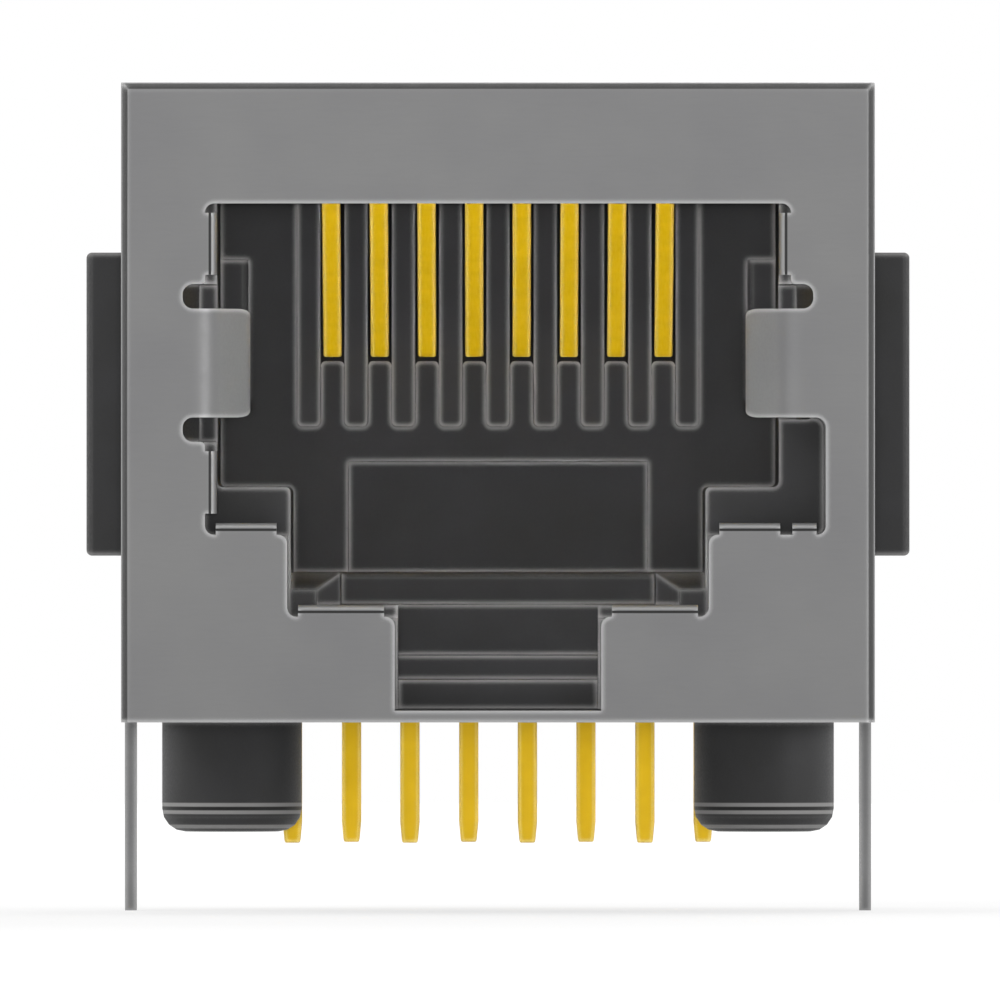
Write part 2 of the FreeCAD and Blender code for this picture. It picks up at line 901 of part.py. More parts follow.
def tail_y(index):
    """The row of a contact's tail: the rows take turns."""
    return front_row_y if index % 2 == 0 else rear_row_y


def arm_hairpin():
    """The corner where the lines of the flat run and the arm would meet."""
    centre_z = run_z - hairpin_radius
    reach_y = arm_end_y - hairpin_y
    drop_z = centre_z - arm_end_z
    distance = math.hypot(reach_y, drop_z)
    tangent = math.asin(hairpin_radius / distance)
    angle = math.atan2(drop_z, reach_y) - tangent
    corner_y = arm_end_y - (run_z - arm_end_z) / math.tan(angle)
    return corner_y, run_z


def contact_arm(index):
    """The sprung arm, its hairpin and the front of the flat run."""
    corner_y, corner_z = arm_hairpin()
    path = [
        (arm_end_y, arm_end_z, 0),
        (corner_y, corner_z, hairpin_radius),
        (jog_start_y, run_z, 0),
    ]
    start_x = contact_x(index) - contact_width / 2
    return prism(strip_corners(path, strip), side_plane, start_x, contact_width)


def contact_jog(index):
    """The level part of the strip, which steps sideways from arm to tail."""
    near = contact_x(index)
    far = tail_x(index)
    bend_y = tail_y(index) - tail_bend_radius
    corners = [
        (near - contact_width / 2, jog_start_y - strip, 0),
        (near + contact_width / 2, jog_start_y - strip, 0),
        (near + contact_width / 2, jog_start_y, 0),
        (far + tail_width / 2, jog_end_y, 0),
        (far + tail_width / 2, bend_y, 0),
        (far - tail_width / 2, bend_y, 0),
        (far - tail_width / 2, jog_end_y, 0),
        (near - contact_width / 2, jog_start_y, 0),
    ]
    return prism(corners, plan_plane, run_z - strip / 2, strip)


def contact_tail(index):
    """The bend down and the tail, narrowed at its tip."""
    row = tail_y(index)
    path = [
        (row - tail_bend_radius - strip, run_z, 0),
        (row, run_z, tail_bend_radius),
        (row, -tail_length, 0),
    ]
    side = prism(strip_corners(path, strip), side_plane, tail_x(index) - tail_width / 2, tail_width)
    half = tail_width / 2
    tip = tail_tip_width / 2
    front = [
        (-half, run_z + strip, 0),
        (-half, -tail_length + tail_tip_length, 0),
        (-tip, -tail_length, 0),
        (tip, -tail_length, 0),
        (half, -tail_length + tail_tip_length, 0),
        (half, run_z + strip, 0),
    ]
    outline = prism(front, front_plane, 0, rear_row_y + overcut)
    outline.translate(vector(tail_x(index), 0, 0))
    return side.common(outline)


def build_contact(index):
    """One contact, stamped and bent from a single strip."""
    return fused([contact_arm(index), contact_jog(index), contact_tail(index)])


# Inserts
def build_contact_insert(contacts):
    """The block moulded round the contacts' flat runs, with a leg behind the comb."""
    side = [
        (insert_front_y, insert_bottom, insert_round),
        (wall_rear_y + part_gap, insert_bottom, 0),
        (wall_rear_y + part_gap, insert_leg_bottom, 0),
        (insert_leg_rear_y, insert_leg_bottom, 0),
        (insert_leg_rear_y, insert_bottom, 0),
        (insert_rear_y, insert_bottom, 0),
        (insert_rear_y, insert_flange_top(), insert_round),
        (insert_step_y(), insert_flange_top(), 0),
        (insert_step_y(), insert_top, 0),
        (insert_front_y, insert_top, insert_round),
    ]
    body = prism(side, side_plane, -insert_half_width, 2 * insert_half_width)
    return body.cut(Part.makeCompound(contacts))


def insert_step_y():
    """Where the insert steps down under the rear shield's roof flange."""
    return shield_rear - flange_length - part_gap


def insert_flange_top():
    """The insert's top under the rear shield's roof flange."""
    return shield_inner_top - flange_gap - sheet - part_gap


def build_tail_spacer():
    """The strip that sets the tails' rows, with a tongue in each side wall."""
    half = rear_bay_half_width - part_gap
    tongue = half + spacer_tongue
    middle = spacer_bottom + spacer_height / 2
    top = spacer_bottom + spacer_height
    right = [
        (half, spacer_bottom, 0),
        (half, middle - spacer_tongue_height / 2, 0),
        (tongue, middle - spacer_tongue_height / 2, 0),
        (tongue, middle + spacer_tongue_height / 2, 0),
        (half, middle + spacer_tongue_height / 2, 0),
        (half, top, edge_round),
    ]
    left = [(-x, z, radius) for x, z, radius in right[::-1]]
    body = prism(right + left, front_plane, spacer_front_y, spacer_rear_y - spacer_front_y)
    hole_x = tail_width / 2 + spacer_hole_gap
    hole_y = strip / 2 + spacer_hole_gap
    holes = []
    for index in range(contact_count):
        x = tail_x(index)
        y = tail_y(index)
        across = (x - hole_x, x + hole_x)
        deep = (y - hole_y, y + hole_y)
        holes.append(block(across, deep, (-overcut, top + overcut)))
    return body.cut(Part.makeCompound(holes))


def export(shape, node):
    """Write one node's solid."""
    shape.exportStep(os.path.join("parts", node + ".step"))


def main():
    """Build every piece and write it."""
    os.makedirs("parts", exist_ok=True)
    contacts = [build_contact(index) for index in range(contact_count)]
    export(build_housing(), "housing")
    export(build_front_shield(), "front_shield")
    export(build_rear_shield(), "rear_shield")
    export(build_contact_insert(contacts), "contact_insert")
    export(build_tail_spacer(), "tail_spacer")
    for index, contact in enumerate(contacts):
        export(contact, "contact_" + str(index + 1))


main()
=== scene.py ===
import functools
import logging
import math
from dataclasses import dataclass, field
from enum import Enum

import bmesh
import bpy
import numpy as np
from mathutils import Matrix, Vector


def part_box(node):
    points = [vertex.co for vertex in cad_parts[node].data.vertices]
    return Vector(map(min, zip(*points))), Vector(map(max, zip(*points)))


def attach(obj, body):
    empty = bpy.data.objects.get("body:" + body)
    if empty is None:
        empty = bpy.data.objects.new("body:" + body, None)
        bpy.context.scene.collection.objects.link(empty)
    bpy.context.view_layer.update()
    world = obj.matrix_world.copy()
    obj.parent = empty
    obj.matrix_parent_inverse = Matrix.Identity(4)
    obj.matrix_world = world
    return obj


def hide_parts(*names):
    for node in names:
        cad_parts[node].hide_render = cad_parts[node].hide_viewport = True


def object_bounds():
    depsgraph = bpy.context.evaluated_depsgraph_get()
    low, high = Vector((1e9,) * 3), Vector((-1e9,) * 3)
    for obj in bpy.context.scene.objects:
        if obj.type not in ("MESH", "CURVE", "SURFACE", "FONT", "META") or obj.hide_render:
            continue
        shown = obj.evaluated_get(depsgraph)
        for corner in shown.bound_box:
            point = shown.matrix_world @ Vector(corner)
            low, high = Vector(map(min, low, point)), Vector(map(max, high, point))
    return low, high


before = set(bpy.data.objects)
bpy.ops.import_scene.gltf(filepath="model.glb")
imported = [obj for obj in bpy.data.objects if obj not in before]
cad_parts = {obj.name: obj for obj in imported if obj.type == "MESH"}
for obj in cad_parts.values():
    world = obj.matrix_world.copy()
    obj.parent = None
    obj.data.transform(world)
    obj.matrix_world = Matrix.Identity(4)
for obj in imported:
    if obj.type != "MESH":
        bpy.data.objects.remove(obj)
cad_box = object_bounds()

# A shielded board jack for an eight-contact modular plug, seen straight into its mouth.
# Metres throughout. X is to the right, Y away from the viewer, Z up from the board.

log = logging.getLogger("board_jack")

Colour = tuple[float, float, float, float]
Point = tuple[float, float, float]
Socket = bpy.types.NodeSocket

MM = 0.001
BODY = "root"
WELD_STEP = 0.0002 * MM
WHITE = (1.0, 1.0, 1.0, 1.0)

# Middle height of the two ground fingers.
FINGER_Z = 7.66 * MM

# Places of the sockets on a mix node that holds colours.
MIX_SHARE, MIX_FIRST, MIX_SECOND, MIX_RESULT = 0, 6, 7, 2

# What a rounded normal and the true one multiply to at a square edge and where a flat begins.
SQUARE_DOT, FLAT_DOT = 0.85, 0.99
EDGE_SAMPLES = 6


class Slot(Enum):
    """The finishes that the record names."""

    SHIELD = "shield_metal"
    HOUSING = "housing_plastic"
    INSERT = "insert_plastic"
    CONTACT = "contact_gold"


class Grain(Enum):
    """Which way a rolled sheet's grain runs, as stretch factors of its pattern along X, Y, Z."""

    ACROSS = (0.12, 1.0, 1.0)
    UPRIGHT = (1.0, 1.0, 0.12)


def srgb_to_linear(level: int) -> float:
    """Turn an 8-bit display level into scene light.

    Args:
        level: display level from 0 to 255.

    Returns:
        The linear value, by the standard display curve.
    """
    share = level / 255
    return share / 12.92 if share <= 0.04045 else ((share + 0.055) / 1.055) ** 2.4


def display_colour(red: int, green: int, blue: int) -> Colour:
    """Turn display levels of red, green and blue into a linear colour, alpha one."""
    return srgb_to_linear(red), srgb_to_linear(green), srgb_to_linear(blue), 1.0


@dataclass(frozen=True)
class NodeSheet:
    """A short way to lay out the nodes of a material or of the world."""

    owner: bpy.types.Material | bpy.types.World

    @property
    def tree(self) -> bpy.types.NodeTree:
        """The owner's node tree."""
        return self.owner.node_tree

    def add(self, kind: str, **settings: object) -> bpy.types.Node:
        """Add a node.

        Args:
            kind: Blender's name of the node type.
            settings: attributes to set on it.

        Returns:
            The new node.
        """
        node = self.tree.nodes.new(kind)
        for name, value in settings.items():
            setattr(node, name, value)
        return node

    def join(self, source: Socket, target: Socket) -> None:
        """Link an output to an input."""
        self.tree.links.new(source, target)

    def place(self, stretch: Point = (1.0, 1.0, 1.0)) -> Socket:
        """The point on the piece, in metres, stretched per axis.

        Args:
            stretch: factor along X, Y and Z.

        Returns:
            The vector output to feed patterns with.
        """
        coordinates = self.add("ShaderNodeTexCoord")
        mapping = self.add("ShaderNodeMapping")
        mapping.inputs["Scale"].default_value = stretch
        self.join(coordinates.outputs["Object"], mapping.inputs["Vector"])
        return mapping.outputs["Vector"]

    def noise(self, where: Socket, feature: float, detail: float, coarseness: float) -> Socket:
        """A cloud pattern from 0 to 1 whose spots are about one feature wide.

        Args:
            where: vector output to read.
            feature: size of a spot in metres.
            detail: octaves of finer spots.
            coarseness: how strong the finer spots are.

        Returns:
            The pattern's value output.
        """
        node = self.add("ShaderNodeTexNoise")
        node.inputs["Scale"].default_value = 1 / feature
        node.inputs["Detail"].default_value = detail
        node.inputs["Roughness"].default_value = coarseness
        self.join(where, node.inputs["Vector"])
        return node.outputs["Fac"]

    def spread(
        self, value: Socket, low: float, high: float, start: float = 0.3, end: float = 0.7
    ) -> Socket:
        """Map a range of a value, by default a noise pattern's usual one, to a wanted one.

        Args:
            value: value output.
            low: result at the start of the range.
            high: result at its end.
            start: value that gives low.
            end: value that gives high.

        Returns:
            The mapped value output, held between low and high.
        """
        node = self.add("ShaderNodeMapRange", clamp=True)
        node.inputs["From Min"].default_value = start
        node.inputs["From Max"].default_value = end
        node.inputs["To Min"].default_value = low
        node.inputs["To Max"].default_value = high
        self.join(value, node.inputs["Value"])
        return node.outputs["Result"]

    def tint(self, share: Socket, base: Socket | Colour, second: Colour) -> Socket:
        """A colour pulled towards a fixed one.

        Args:
            share: how far to pull, from 0 to 1.
            base: colour to start from, an output or a fixed one.
            second: linear colour to pull towards.

        Returns:
            The colour output.
        """
        node = self.add("ShaderNodeMix", data_type="RGBA")
        node.inputs[MIX_SECOND].default_value = second
        self.join(share, node.inputs[MIX_SHARE])
        if isinstance(base, tuple):
            node.inputs[MIX_FIRST].default_value = base
        else:
            self.join(base, node.inputs[MIX_FIRST])
        return node.outputs[MIX_RESULT]

    def clouded(self, size: float, low: Colour, high: Colour) -> Socket:
        """A colour that drifts between two fixed ones in soft clouds.

        Args:
            size: size of the clouds in metres.
            low: linear colour between the clouds.
            high: linear colour in their middle.

        Returns:
            The colour output.
        """
        clouds = self.noise(self.place(), size, detail=2.0, coarseness=0.55)
        return self.tint(self.spread(clouds, 0.0, 1.0), low, high)

    def edge_share(self, radius: float, strength: float) -> Socket:
        """How close the point is to an edge, by how far a rounded normal leaves the true one.

        Args:
            radius: reach of an edge in metres.
            strength: result right at a square edge.

        Returns:
            The value output, 0 on a flat.
        """
        rounded = self.add("ShaderNodeBevel", samples=EDGE_SAMPLES)
        rounded.inputs["Radius"].default_value = radius
        true = self.add("ShaderNodeNewGeometry")
        dot = self.add("ShaderNodeVectorMath", operation="DOT_PRODUCT")
        self.join(rounded.outputs["Normal"], dot.inputs[0])
        self.join(true.outputs["True Normal"], dot.inputs[1])
        return self.spread(dot.outputs["Value"], strength, 0.0, SQUARE_DOT, FLAT_DOT)

    def axis(self, where: Socket, letter: str) -> Socket:
        """One coordinate of a vector.

        Args:
            where: vector output.
            letter: X, Y or Z.

        Returns:
            The value output.
        """
        parts = self.add("ShaderNodeSeparateXYZ")
        self.join(where, parts.inputs["Vector"])
        return parts.outputs[letter]

    def sums(self, operation: str, first: Socket, second: Socket | float = 0.0) -> Socket:
        """Work out a value from one or two others.

        Args:
            operation: Blender's name of the sum.
            first: value output.
            second: value output or a fixed number, for a sum that takes two.

        Returns:
            The value output.
        """
        node = self.add("ShaderNodeMath", operation=operation)
        self.join(first, node.inputs[0])
        if isinstance(second, float):
            node.inputs[1].default_value = second
        else:
            self.join(second, node.inputs[1])
        return node.outputs[0]

    def greatest(self, *values: Socket) -> Socket:
        """The greatest of several values, taken two at a time."""
        return functools.reduce(lambda first, second: self.sums("MAXIMUM", first, second), values)

    def band(self, value: Socket, middle: float, half: float, soft: float) -> Socket:
        """One inside a band of a value and nought outside it, with soft sides.

        Args:
            value: value output.
            middle: middle of the band.
            half: half of its width.
            soft: width of each side.

        Returns:
            The value output.
        """
        away = self.sums("ABSOLUTE", self.sums("SUBTRACT", value, middle))
        return self.spread(away, 1.0, 0.0, half, half + soft)

    def seen_directly(self) -> Socket:
        """One for the rays of the camera, of gloss and of glass, nought for matt light."""
        rays = self.add("ShaderNodeLightPath").outputs
        return self.greatest(rays["Is Camera Ray"], rays["Is Glossy Ray"], rays["Is Transmission Ray"])

    def bump(self, height: Socket, depth: float, strength: float) -> Socket:
        """A relief from a height pattern.

        Args:
            height: pattern from 0 to 1.
            depth: height of the relief in metres.
            strength: share of the relief that shows.

        Returns:
            The normal output.
        """
        node = self.add("ShaderNodeBump")
        node.inputs["Distance"].default_value = depth
        node.inputs["Strength"].default_value = strength
        self.join(height, node.inputs["Height"])
        return node.outputs["Normal"]


def new_sheet(name: str) -> tuple[NodeSheet, bpy.types.Node]:
    """Start a material with only its surface shader.

    Args:
        name: material name.

    Returns:
        The node sheet and its surface shader.
    """
    material = bpy.data.materials.new(name)
    material.use_nodes = True
    material.node_tree.nodes.clear()
    sheet = NodeSheet(material)
    shader = sheet.add("ShaderNodeBsdfPrincipled")
    output = sheet.add("ShaderNodeOutputMaterial")
    sheet.join(shader.outputs["BSDF"], output.inputs["Surface"])
    return sheet, shader


# In each finish of the jack, low and high are the colours between soft clouds and in their middle. The
# colour named edge is a painted highlight along the edges, where they would catch the light: it fades
# out at edge_reach from an edge and is mixed in by edge_strength right at it.


@dataclass(frozen=True)
class Texture:
    """A fine pattern that a surface's gloss and relief follow.

    Attributes:
        feature: size of its spots.
        detail: octaves of finer spots.
        coarseness: how strong the finer spots are.
        roughness: the surface's roughness at the pattern's low and high end.
        depth: height of the relief.
        strength: share of the relief that shows.
        stretch: factor of the pattern along X, Y and Z.
    """

    feature: float
    detail: float
    coarseness: float
    roughness: tuple[float, float]
    depth: float
    strength: float
    stretch: Point = (1.0, 1.0, 1.0)

    def apply(self, sheet: NodeSheet, shader: bpy.types.Node) -> None:
        """Let a shader's roughness and normal follow the pattern.

        Args:
            sheet: the material's node sheet.
            shader: its surface shader.
        """
        where = sheet.place(self.stretch)
        pattern = sheet.noise(where, self.feature, self.detail, self.coarseness)
        sheet.join(sheet.spread(pattern, *self.roughness), shader.inputs["Roughness"])
        sheet.join(sheet.bump(pattern, self.depth, self.strength), shader.inputs["Normal"])


@dataclass(frozen=True)
class LipZone:
    """Where the mouth's inward lips are, and where the two fingers break them.

    Attributes:
        half_width: half of the width that holds every lip.
        floor: height under which no lip lies.
        roof: height above which no lip lies.
        soft: width of the zone's soft sides.
        finger_half: half of the fingers' height, with the slots beside them.
        finger_soft: width of the soft sides there.
    """

    half_width: float = 7.3 * MM
    floor: float = 0.6 * MM
    roof: float = 11.4 * MM
    soft: float = 0.05 * MM
    finger_half: float = 1.3 * MM
    finger_soft: float = 0.02 * MM

    def share(self, sheet: NodeSheet) -> Socket:
        """One on the lips and nought elsewhere.

        Args:
            sheet: the material's node sheet.

        Returns:
            The value output.
        """
        where = sheet.place()
        across = sheet.band(sheet.axis(where, "X"), 0.0, self.half_width, self.soft)
        height = sheet.axis(where, "Z")
        middle = (self.floor + self.roof) / 2
        within = sheet.band(height, middle, (self.roof - self.floor) / 2, self.soft)
        fingers = sheet.band(height, FINGER_Z, self.finger_half, self.finger_soft)
        beside_fingers = sheet.spread(fingers, 1.0, 0.0, 0.0, 1.0)
        return sheet.sums("MULTIPLY", sheet.sums("MULTIPLY", across, within), beside_fingers)


@dataclass(frozen=True)
class PlatedSheet:
    """Matt nickel plate on folded sheet: rolled grain, faint clouds, painted highlights along the
    edges.

    Painted shade darkens the outer folds, where they turn away from the light. The mouth's lips carry
    painted shade in their creases where they leave the front and a painted highlight on their crowns.

    Attributes:
        fold, crease, crown: colours of the painted shade on outer folds, of the painted shade in
            creases and of the painted highlight on crowns.
        side_reach, roof_reach, sill_reach: where the outer folds begin, over fold_soft.
        fold_turn: greatest part of the normal where the painted shade of the folds shows fully and
            where it ends.
        crease_band, crown_band: middle, half and soft side, in the normal's frontward part.
        lips: where the lips are, or nothing for a sheet without any.
    """

    name: str
    grain: Grain
    low: Colour = display_colour(119, 119, 120)
    high: Colour = display_colour(124, 124, 124)
    edge: Colour = display_colour(196, 196, 196)
    fold: Colour = display_colour(58, 58, 58)
    crease: Colour = display_colour(38, 38, 38)
    crown: Colour = display_colour(158, 158, 158)
    metallic: float = 0.5
    cloud_size: float = 2.4 * MM
    edge_reach: float = 0.2 * MM
    edge_strength: float = 0.7
    side_reach: float = 7.6 * MM
    roof_reach: float = 13.2 * MM
    sill_reach: float = 0.3 * MM
    fold_soft: float = 0.05 * MM
    fold_turn: tuple[float, float] = (0.87, 0.91)
    crease_band: tuple[float, float, float] = (0.95, 0.035, 0.01)
    crown_band: tuple[float, float, float] = (0.5, 0.3, 0.1)
    lips: LipZone | None = None

    @property
    def rolled(self) -> Texture:
        """The rolled grain."""
        return Texture(
            feature=0.06 * MM,
            detail=4.0,
            coarseness=0.6,
            roughness=(0.36, 0.5),
            depth=0.002 * MM,
            strength=0.35,
            stretch=self.grain.value,
        )

    def dress_folds(self, sheet: NodeSheet, body: Socket) -> Socket:
        """Paint shade on the outer folds, beyond the reaches that the flat front ends at.

        The middle of an outer bend is where no part of the normal along X, Y or Z is close to one.

        Args:
            sheet: the material's node sheet.
            body: colour output to start from.

        Returns:
            The colour output.
        """
        normal = sheet.add("ShaderNodeVectorMath", operation="ABSOLUTE")
        sheet.join(sheet.add("ShaderNodeNewGeometry").outputs["Normal"], normal.inputs[0])
        main_part = sheet.greatest(*(sheet.axis(normal.outputs[0], letter) for letter in "XYZ"))
        turned = sheet.spread(main_part, 1.0, 0.0, *self.fold_turn)
        soft = self.fold_soft
        where = sheet.place()
        sideways = sheet.sums("ABSOLUTE", sheet.axis(where, "X"))
        height = sheet.axis(where, "Z")
        sides = sheet.spread(sideways, 0.0, 1.0, self.side_reach, self.side_reach + soft)
        roof = sheet.spread(height, 0.0, 1.0, self.roof_reach, self.roof_reach + soft)
        sill = sheet.spread(height, 1.0, 0.0, self.sill_reach, self.sill_reach + soft)
        outside = sheet.greatest(sides, roof, sill)
        # Painted shade on the outer folds, where they turn away from the front.
        return sheet.tint(sheet.sums("MULTIPLY", turned, outside), body, self.fold)

    def dress_lips(self, sheet: NodeSheet, body: Socket) -> Socket:
        """Paint shade in the lips' creases and a highlight on their crowns.

        How far a bend has turned is read from the part of its normal that points to the
        front: one on the flat front, nought where the lip points straight back.

        Args:
            sheet: the material's node sheet.
            body: colour output to start from.

        Returns:
            The colour output.
        """
        normal = sheet.add("ShaderNodeNewGeometry").outputs["Normal"]
        frontward = sheet.sums("MULTIPLY", sheet.axis(normal, "Y"), -1.0)
        zone = self.lips.share(sheet)
        crease = sheet.sums("MULTIPLY", zone, sheet.band(frontward, *self.crease_band))
        crown = sheet.sums("MULTIPLY", zone, sheet.band(frontward, *self.crown_band))
        # Painted shade in the lips' creases, painted highlight on their crowns.
        dull = sheet.tint(crease, body, self.crease)
        return sheet.tint(crown, dull, self.crown)

    def build(self) -> bpy.types.Material:
        """Lay out the plate's nodes.

        Returns:
            The finished material.
        """
        sheet, shader = new_sheet(self.name)
        shader.inputs["Metallic"].default_value = self.metallic
        body = self.dress_folds(sheet, sheet.clouded(self.cloud_size, self.low, self.high))
        # Painted highlight along the edges.
        plate = sheet.tint(sheet.edge_share(self.edge_reach, self.edge_strength), body, self.edge)
        if self.lips:
            plate = self.dress_lips(sheet, plate)
        sheet.join(plate, shader.inputs["Base Color"])
        self.rolled.apply(sheet, shader)
        return sheet.owner


@dataclass(frozen=True)
class MouldedBlack:
    """Black moulded plastic: fine spark-worn texture, faint flow clouds, painted highlights along the
    edges.

    A dark line runs round each peg where its rounded end begins, with painted highlights on the pale
    lips either side of it. The rim of the peg's rounded end carries a painted highlight too.

    Attributes:
        witness, witness_z, witness_half: colour, height and half width of the dark line.
        lip_half: half of the width over both pale lips.
        rim_z: height of the pale rim.
        ring_soft: width of these rings' soft sides.
        specular: how strongly the plastic mirrors.
        pits: the spark-worn texture.
    """

    name: str
    low: Colour = display_colour(44, 44, 44)
    high: Colour = display_colour(49, 49, 50)
    edge: Colour = display_colour(165, 164, 163)
    witness: Colour = display_colour(20, 20, 20)
    specular: float = 0.28
    cloud_size: float = 1.6 * MM
    edge_reach: float = 0.21 * MM
    edge_strength: float = 0.66
    witness_z: float = -1.88 * MM
    witness_half: float = 0.03 * MM
    lip_half: float = 0.11 * MM
    rim_z: float = -2.27 * MM
    ring_soft: float = 0.02 * MM
    pits: Texture = Texture(
        feature=0.045 * MM,
        detail=3.0,
        coarseness=0.65,
        roughness=(0.42, 0.6),
        depth=0.004 * MM,
        strength=0.4,
    )

    def build(self) -> bpy.types.Material:
        """Lay out the plastic's nodes.

        Returns:
            The finished material.
        """
        sheet, shader = new_sheet(self.name)
        shader.inputs["Specular IOR Level"].default_value = self.specular
        body = sheet.clouded(self.cloud_size, self.low, self.high)
        height = sheet.axis(sheet.place(), "Z")
        # A dark line round each peg where its rounded end begins; the pale lips beside it, the rim and
        # the pale edges are painted highlights.
        line = sheet.band(height, self.witness_z, self.witness_half, self.ring_soft)
        lips = sheet.band(height, self.witness_z, self.lip_half, self.ring_soft)
        rim = sheet.band(height, self.rim_z, self.witness_half, self.ring_soft)
        rings = sheet.sums("MULTIPLY", sheet.greatest(lips, rim), self.edge_strength)
        pale = sheet.greatest(sheet.edge_share(self.edge_reach, self.edge_strength), rings)
        plastic = sheet.tint(line, sheet.tint(pale, body, self.edge), self.witness)
        sheet.join(plastic, shader.inputs["Base Color"])
        self.pits.apply(sheet, shader)
        return sheet.owner


@dataclass(frozen=True)
class GoldPlate:
    """Gold over phosphor bronze: drawn streaks, slightly deeper patches and painted highlights along
    the edges.

    Attributes:
        drawn: the streaks, which run along the strip.
    """

    name: str
    low: Colour = display_colour(192, 156, 12)
    high: Colour = display_colour(205, 167, 16)
    edge: Colour = display_colour(224, 208, 140)
    metallic: float = 0.4
    patch_size: float = 0.9 * MM
    edge_reach: float = 0.14 * MM
    edge_strength: float = 1.0
    drawn: Texture = Texture(
        feature=0.05 * MM,
        detail=3.0,
        coarseness=0.55,
        roughness=(0.3, 0.44),
        depth=0.001 * MM,
        strength=0.3,
        stretch=(1.0, 0.1, 0.1),
    )

    def build(self) -> bpy.types.Material:
        """Lay out the plate's nodes.

        Returns:
            The finished material.
        """
        sheet, shader = new_sheet(self.name)
        shader.inputs["Metallic"].default_value = self.metallic
        body = sheet.clouded(self.patch_size, self.low, self.high)
        # Painted highlight along the edges.
        gold = sheet.tint(sheet.edge_share(self.edge_reach, self.edge_strength), body, self.edge)
        sheet.join(gold, shader.inputs["Base Color"])
        self.drawn.apply(sheet, shader)
        return sheet.owner


@dataclass(frozen=True)
class PaleFloor:
    """A plain pale table top: soft shadows round the jack, plain white farther out.

    Attributes:
        name: material name.
        matt: colour of the lit surface.
        roughness: its roughness.
        shadow_share: how much of the lit surface shows near the jack.
        glow: strength of the plain white.
        fade_start: distance from the jack at which the shadows begin to fade.
        fade_end: distance at which only plain white is left.
    """

    name: str
    matt: Colour = (0.9, 0.9, 0.9, 1.0)
    roughness: float = 0.9
    shadow_share: float = 0.35
    glow: float = 1.1
    fade_start: float = 30 * MM
    fade_end: float = 140 * MM

    def build(self) -> bpy.types.Material:
        """Mix a matt white with plain white light that only the camera and gloss see.

        Returns:
            The finished material.
        """
        sheet, shader = new_sheet(self.name)
        shader.inputs["Base Color"].default_value = self.matt
        shader.inputs["Roughness"].default_value = self.roughness
        glow = sheet.add("ShaderNodeEmission")
        glow.inputs["Strength"].default_value = self.glow
        away = sheet.add("ShaderNodeVectorMath", operation="LENGTH")
        sheet.join(sheet.place(), away.inputs[0])
        near = 1 - self.shadow_share
        plain = sheet.spread(away.outputs["Value"], near, 1.0, self.fade_start, self.fade_end)
        mix = sheet.add("ShaderNodeMixShader")
        sheet.join(sheet.sums("MULTIPLY", sheet.seen_directly(), plain), mix.inputs[0])
        sheet.join(shader.outputs["BSDF"], mix.inputs[1])
        sheet.join(glow.outputs["Emission"], mix.inputs[2])
        output = next(node for node in sheet.tree.nodes if node.type == "OUTPUT_MATERIAL")
        sheet.join(mix.outputs["Shader"], output.inputs["Surface"])
        return sheet.owner


def link_object(name: str, mesh: bpy.types.Mesh) -> bpy.types.Object:
    """Put a mesh into the scene at the origin.

    Args:
        name: the piece's name.
        mesh: its finished mesh.

    Returns:
        The new object.
    """
    piece = bpy.data.objects.new(name, mesh)
    bpy.context.scene.collection.objects.link(piece)
    return piece


def stand_in(
    name: str, mesh: bpy.types.Mesh, node: str, material: bpy.types.Material
) -> bpy.types.Object:
    """Dress a mesh and let it stand for a node.

    Args:
        name: the piece's name.
        mesh: its mesh.
        node: the node that it stands for.
        material: the finish to wear.

    Returns:
        The new piece.
    """
    mesh.materials.append(material)
    piece = link_object(name, mesh)
    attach(piece, BODY)
    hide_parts(node)
    return piece


def shade_by_angle(mesh: bpy.types.Mesh, limit_deg: float) -> None:
    """Shade a mesh smooth except across edges sharper than the limit."""
    mesh.polygons.foreach_set("use_smooth", np.ones(len(mesh.polygons), dtype=bool))
    mesh.set_sharp_from_angle(angle=math.radians(limit_deg))


def tube_faces(rings: int, around: int) -> np.ndarray:
    """Quads between rings of a closed tube.

    The quad at ring i and step j joins points (i, j), (i, j+1), (i+1, j+1) and (i+1, j),
    with j wrapping round.

    Args:
        rings: number of rings.
        around: points on a ring.

    Returns:
        An array of four indices per quad.
    """
    ring, step = np.meshgrid(np.arange(rings - 1), np.arange(around), indexing="ij")
    following = (step + 1) % around
    corners = [(ring, step), (ring, following), (ring + 1, following), (ring + 1, step)]
    return np.stack([i * around + j for i, j in corners], axis=-1).reshape(-1, 4)


def capped_tube(name: str, rings: np.ndarray) -> bpy.types.Mesh:
    """A closed surface through rings of points, with a flat face on each end.

    Args:
        name: mesh name.
        rings: array of shape (rings, around, 3).

    Returns:
        The mesh, with its faces outwards.
    """
    count, around = rings.shape[:2]
    faces = tube_faces(count, around).tolist()
    faces.append(list(range(around))[::-1])
    last = (count - 1) * around
    faces.append(list(range(last, last + around)))
    mesh = bpy.data.meshes.new(name)
    mesh.from_pydata(rings.reshape(-1, 3).tolist(), [], faces)
    solid = bmesh.new()
    solid.from_mesh(mesh)
    bmesh.ops.recalc_face_normals(solid, faces=solid.faces)
    solid.to_mesh(mesh)
    solid.free()
    return mesh


def welded_copy(node: str) -> tuple[np.ndarray, np.ndarray]:
    """A node's points and triangles with shared corners joined.

    Corners that round to the same multiples of the weld step become one point.

    Args:
        node: name of the node to copy.

    Returns:
        Points (n, 3) in metres and triangles (m, 3).
    """
    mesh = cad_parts[node].data
    mesh.calc_loop_triangles()
    points = np.empty(len(mesh.vertices) * 3)
    mesh.vertices.foreach_get("co", points)
    points = points.reshape(-1, 3)
    triangles = np.empty(len(mesh.loop_triangles) * 3, dtype=np.int64)
    mesh.loop_triangles.foreach_get("vertices", triangles)
    grid = np.round(points / WELD_STEP).astype(np.int64)
    _, first, index = np.unique(grid, axis=0, return_index=True, return_inverse=True)
    triangles = index.reshape(-1)[triangles.reshape(-1, 3)]
    whole = (triangles != np.roll(triangles, 1, axis=1)).all(axis=1)
    return points[first], triangles[whole]


